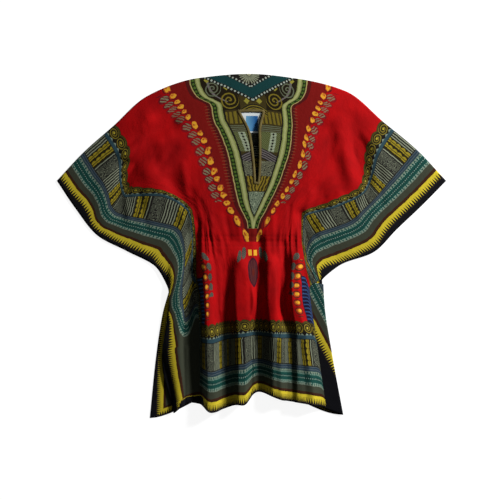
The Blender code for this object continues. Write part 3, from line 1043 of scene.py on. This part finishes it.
def bead_zone(dye, side, drop, shake, patchy):
    """The darker zone round the yoke, edged with gold beads and small leaves."""
    lay = dye.lay
    from_yoke = side - dye.curve(drop, YOKE_LINE)
    from_beads = side - dye.curve(drop, BEAD_LINE)
    upper = drop.below(392)
    zone = (from_beads.below(3)) & upper
    lay(zone & (from_beads.plus(shake, 30)).above(-60), (104, 14, 11))
    lay(zone & from_yoke.within(16, 28), (66, 15, 14))
    strokes = from_yoke.within(24, 34) & drop.swing(7.4).above(2.9) & drop.within(70, 300)
    lay(strokes & zone, (112, 56, 34))
    phase = dye.curve(drop, [(at, k + 0.5) for k, at in enumerate(BEADS)], 20)
    part = (phase.wrap(1) - 0.5) * 20
    upright = from_beads.plus(part, -0.47)
    lay(dot(part - 1, upright * 0.85, 9.2) & upper, (84, 12, 18))
    leaf = dot(part, (upright - 21) * 0.7, 8.2) & drop.within(18, 300)
    faded = patchy * 0.6 + 0.3
    lay(dot(part, (upright - 22) * 0.64, 9.6) & drop.within(14, 300) & faded, (66, 14, 26))
    veins = (part.plus(upright, 0.6)).plus(shake, 8).swing(7.2).above(1.7)
    lay(leaf & veins & faded.made("ADD", 0.25, clamp=True), (112, 110, 84))
    bead = far(part, upright)
    lay(bead.plus(shake, 8).below(8) & upper, ORANGE)
    lay(bead.plus(shake, 12).below(6.2) & upper, GOLD)
    lay(dot(part + 2, upright.plus(shake, 9) - 1.5, 2.3) & upper, ORANGE)
    lay(bead.plus(shake, -9).within(3.4, 4.6) & part.below(0) & upper, (150, 92, 28))


def spiral(side, drop, middle_x, middle_y, radius, pitch):
    """A coiled line about a point, as a mask."""
    x = side - middle_x
    y = drop - middle_y
    reach = far(x, y)
    turn = x.made("ARCTAN2", y)
    coil = reach.plus(turn, pitch / (2 * math.pi)).wrap(pitch)
    return coil.below(pitch * 0.36) & reach.below(radius)


def yoke(dye, side, drop, shake_x, shake_y):
    """The yoke: its outlines, the chevrons at the shoulder, scrolls, and panels beside the slit."""
    lay = dye.lay
    from_line = side - dye.curve(drop, YOKE_LINE)
    upper = drop.below(362)
    inside = from_line.below(-6) & upper
    for reach, colour in ((20.5, (70, 16, 20)), (18.5, (150, 138, 84)), (16, (24, 34, 14))):
        lay(from_line.below(reach) & upper, colour)
    beaded = dot(from_line - 11, drop.wrap(9) - 4.5, 2.9)
    lay(beaded & upper, (62, 86, 30))
    lay(from_line.below(6) & upper, PALE_GREEN)
    lay(from_line.within(-3, 3) & upper, (138, 142, 92))
    lay(inside, BLACK)

    # Panels by drop, beside the slit
    panel = from_line.below(-10) & upper
    lay(panel, DARK_OLIVE)
    stripes = side.swing(10)
    lay(panel & drop.within(88, 116) & stripes.above(2), (98, 86, 26))
    lay(panel & drop.within(120, 135) & drop.swing(4.4).above(1.1), GRAY_GREEN)
    strip = panel & drop.within(136, 182)
    lay(strip & (drop.plus(side, 1)).swing(4).above(1), (92, 104, 64))
    lay(strip & from_line.within(-34, -20) & drop.swing(3.6).above(0.5), (140, 150, 128))
    lay(strip & dot(from_line + 27, drop.wrap(7.2) - 3.6, 2.5), BLACK)
    slant = drop.plus(side, -0.45)
    lay(panel & slant.within(172, 196), (20, 19, 22))
    lay(panel & slant.within(172, 194) & slant.swing(5.4).above(1.3), MAUVE)
    wander = drop.plus(shake_x, 40).plus(side, 0.6)
    scribble = wander.swing(5.2).above(1.3)
    low_panel = panel & drop.above(205)
    lay(low_panel & drop.below(240), (44, 44, 38))
    lay(low_panel & drop.below(240) & scribble, (102, 104, 82))
    leaves = low_panel & drop.within(240, 276)
    lay(leaves, (46, 37, 13))
    bent = side.plus(drop, 0.3).plus(shake_y, 10)
    lay(leaves & bent.swing(8.6).above(2.2), (116, 100, 30))
    tip = low_panel & drop.above(278)
    lay(tip, (64, 76, 62))
    lay(tip & (drop.plus(side, -0.9).plus(shake_y, 34)).swing(6).above(1.8), (126, 136, 112))

    # Arches over the slit
    arch = drop.plus(side.made("MULTIPLY", side), -0.013)
    over_slit = side.below(31) & arch.within(70, 88)
    lay(over_slit, BLACK)
    lay(over_slit & arch.swing(6).above(1.7), OLIVE)

    # Scrolls and leaves at the shoulder
    shoulder = inside & drop.below(84)
    lay(shoulder & side.above(31), (26, 20, 9))
    lay(shoulder & from_line.within(-25, -19.5) & drop.below(64), MAUVE)
    lay(shoulder & spiral(side, drop, 53, 60, 21, 9), OLIVE)
    lay(shoulder & spiral(side, drop, 88, 30, 19, 8), GRAY_GREEN)
    for middle_x, middle_y in ((57, 30), (15, 64), (100, 8)):
        diamond = abs(side - middle_x) + abs(drop - middle_y)
        lay(shoulder & diamond.below(7), (126, 120, 44))

    # Chevrons with white dots, and a rosette
    fall = (drop.plus(side, 0.59) - 62) * 0.861
    run = side.plus(drop, -0.59) * 0.861
    lay(shoulder & fall.below(3.5), BLACK)
    lay(shoulder & fall.below(-3.5), TEAL)
    lay(shoulder & fall.below(-24), BLACK)
    dots = dot(run.wrap(8.4) - 4.2, fall, 2.3) | dot(run.wrap(8.4) - 4.2, fall + 27, 2.1)
    lay(shoulder & dots, WHITE)
    reach = far(side, drop)
    rays = drop.made("ARCTAN2", side).wrap(0.26)
    rosette = shoulder & reach.within(6, 24) & (rays * reach).within(0.6, 3.4)
    lay(rosette & fall.below(-30), (118, 122, 100))
    lay(shoulder & reach.within(1.5, 4.5), (150, 150, 120))


def border(dye, side, across, drop, shake):
    """The border along both selvedges and the hem, by its depth in from the edge."""
    lay = dye.lay
    from_side = HALF_WIDTH - side
    from_hem = BORDER_HEM - drop
    depth = from_side.made("MINIMUM", from_hem)
    on_hem = (from_side - from_hem).above(0)
    run = drop.plus(on_hem & (across - drop), 1)

    # Rings that scallop the inner edge
    ring_x = run.wrap(25) - 12.5
    ring = far(ring_x, depth - 189)
    edge = depth.below(187) | ring.below(17.6)
    lay(edge, dye.bands(depth, BANDS, BORDER_DEPTH))
    lay(edge & ring.within(14.8, 16.4) & depth.above(180), (74, 66, 22))
    curl = ring.plus(ring_x.made("ARCTAN2", depth - 189), 0.8).swing(5.4).above(1.5)
    lay(edge & ring.below(13.2) & curl, OLIVE)
    lay(edge & ring.below(2.4), (150, 136, 40))
    tooth = run.wrap(12.5) - 6.25
    lay((abs(tooth) + (depth - 173)).below(3.8) & depth.above(172), DULL_WHITE)

    # Teeth, triangles and a zigzag
    teeth = run.swing(6.2) * 4.2
    lay((depth - 20 - teeth).below(0) & depth.above(19), (28, 22, 20))
    peaks = run.swing(7.6) * 2
    lay(depth.above(57.5) & (depth - peaks).below(57), DULL_WHITE)
    lay(depth.below(86.5) & (depth + peaks).above(87), DULL_WHITE)
    lay((depth - peaks * 0.5).within(68.5, 71.5), (14, 34, 36))
    specks = dot(run.wrap(5) - 2.5, (depth - 58).wrap(9) - 4.5, 1.2) & depth.within(60, 84)
    lay(specks, (110, 138, 124))

    # Ladder blocks
    ladder = depth.within(99.5, 161.5)
    cell = run.wrap(90)
    bars = (cell.below(16) | cell.within(43, 48) | cell.above(77)) & run.swing(5.4).above(1.6)
    lay(ladder & bars, (116, 122, 102))
    leaf_x = cell.wrap(13) - 3
    leaf = dot(leaf_x - 6.5, (depth.wrap(14) - 7) * 0.75, 5.4) & cell.within(16.5, 42.5)
    lay(ladder & cell.within(16, 43), (30, 26, 10))
    lay(ladder & leaf, (126, 112, 26))
    lay(ladder & leaf & abs(leaf_x - 6.5).below(0.9), DARK_OLIVE)
    scribble = (cell.plus(shake, 60).plus(depth, 0.5)).swing(5.6).above(1.7)
    lay(ladder & cell.within(49, 76), (28, 28, 26))
    lay(ladder & cell.within(50, 75) & scribble, (92, 96, 80))


def plain_cotton(name, colour, darker, scale):
    """A plain dyed tape or thread with a little unevenness."""
    dye = Dye(name)
    places = dye.node("ShaderNodeTexCoord")
    cloudy = dye.noise(places.outputs["Object"], scale, 3)
    dye.colour = dye.lay(dye.value(cloudy.outputs[0]), darker, colour)
    return dye.finish(0.75, dye.value(cloudy.outputs[0]), 0.4, 0.0008)


def woven_label(name):
    """A blank label: a pale border round a plain blue field that is darker on one side."""
    dye = Dye(name)
    places = dye.node("ShaderNodeUVMap", uv_map="cloth")
    x, y = [part * 1000 for part in dye.split(places.outputs["UV"])]
    dye.colour = dye.lay((x * 0.04 + 0.5).made("MAXIMUM", 0), (196, 204, 204), (206, 212, 212))
    blue = dye.lay((x * 0.05 + 0.5).made("MINIMUM", 1), (30, 82, 136), (92, 146, 180))
    field = (x - 1).within(-14, 14) & y.within(269, 305)
    dye.lay(field, blue)
    ribs = y.swing(0.9)
    return dye.finish(0.5, ribs, 0.3, 0.0003)


# The pieces
PRINTED = printed_cotton("printed_cotton")
TAPE = plain_cotton("facing_tape", (112, 100, 60), (58, 50, 24), 60.0)
THREAD = plain_cotton("sewing_thread", (96, 20, 22), (60, 12, 14), 200.0)
DARK_THREAD = plain_cotton("dark_thread", (40, 36, 34), (24, 22, 20), 200.0)
LABEL = woven_label("label_weave")


def dressed(piece, material, node):
    """Gives a piece its material and its place in the frame."""
    piece.data.materials.append(material)
    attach(piece, "root")
    if node:
        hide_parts(node)
    return piece


front = dressed(make_front(), PRINTED, "front")
back = dressed(make_back(), PRINTED, "back")
dressed(make_binding(), TAPE, "neck_binding")
dressed(make_label(), LABEL, "neck_label")
SEAMS = (
    ("hem", DARK_THREAD, [row_line(LENGTH - HEM_WIDTH)]),
    ("waist", THREAD, [row_line(CASING_ROWS[0] - 1), row_line(CASING_ROWS[2] + 1)]),
    ("cuff", DARK_THREAD, down_lines(np.linspace(6, UNDERARM - 8, 120), cuff_ends)),
    ("slit", THREAD, down_lines(np.linspace(SLIT_TOP - 3, SLIT_END + 4, 70), tape_ends)),
)
stitches = [
    dressed(sewn_lines(f"{name}_stitches", lines), thread, None)
    for name, thread, lines in SEAMS
]

# The sheet of paper that the shirt lies on, in metres
FLOOR_REACH = 30.0
FLOOR_GAP = 0.0004
PAPER_GRAY = 0.2
PAPER_GLOW = 0.9
floor_mesh = bpy.data.meshes.new("floor")
floor_corners = [(x * FLOOR_REACH, y * FLOOR_REACH, 0) for x, y in ((-1, -1), (1, -1), (1, 1), (-1, 1))]
floor_mesh.from_pydata(floor_corners, [], [(0, 1, 2, 3)])
floor = placed("floor", floor_mesh)
floor.location.z = -FLOOR_GAP
white = bpy.data.materials.new("paper")
white.use_nodes = True
paper = white.node_tree.nodes["Principled BSDF"]
paper.inputs["Base Color"].default_value = (PAPER_GRAY, PAPER_GRAY, PAPER_GRAY, 1)
paper.inputs["Roughness"].default_value = 0.9
paper.inputs["Emission Color"].default_value = (1, 1, 1, 1)
paper.inputs["Emission Strength"].default_value = PAPER_GLOW
floor_mesh.materials.append(white)

# Light, camera and look
WORLD_LIGHT = 0.05
KEY_LIGHT = ((2.25, 1.42, 1.5), 0.55, 168)
FILL_LIGHT = ((1.1, 0.5, 3.0), 1.0, 5)
LENS = 85
SENSOR = 36
FRAME_WIDTH = 1.175
FRAME_MIDDLE = (-0.0035, -0.0094)
scene = bpy.context.scene
world = bpy.data.worlds.new("studio")
world.use_nodes = True
sky = world.node_tree.nodes["Background"]
sky.inputs["Color"].default_value = (1, 1, 1, 1)
sky.inputs["Strength"].default_value = WORLD_LIGHT
scene.world = world


def soft_light(name, place, size, power):
    """A square soft light that looks at the middle of the shirt."""
    lamp = bpy.data.lights.new(name, "AREA")
    lamp.size = size
    lamp.energy = power
    made = placed(name, lamp)
    made.location = place
    made.rotation_euler = (-Vector(place)).to_track_quat("-Z", "Y").to_euler()


soft_light("key", *KEY_LIGHT)
soft_light("fill", *FILL_LIGHT)

camera = bpy.data.cameras.new("camera")
camera.lens = LENS
camera.sensor_width = SENSOR
camera_object = placed("camera", camera)
camera_object.location = (*FRAME_MIDDLE, FRAME_WIDTH * LENS / SENSOR)
scene.camera = camera_object
scene.view_settings.view_transform = "Standard"
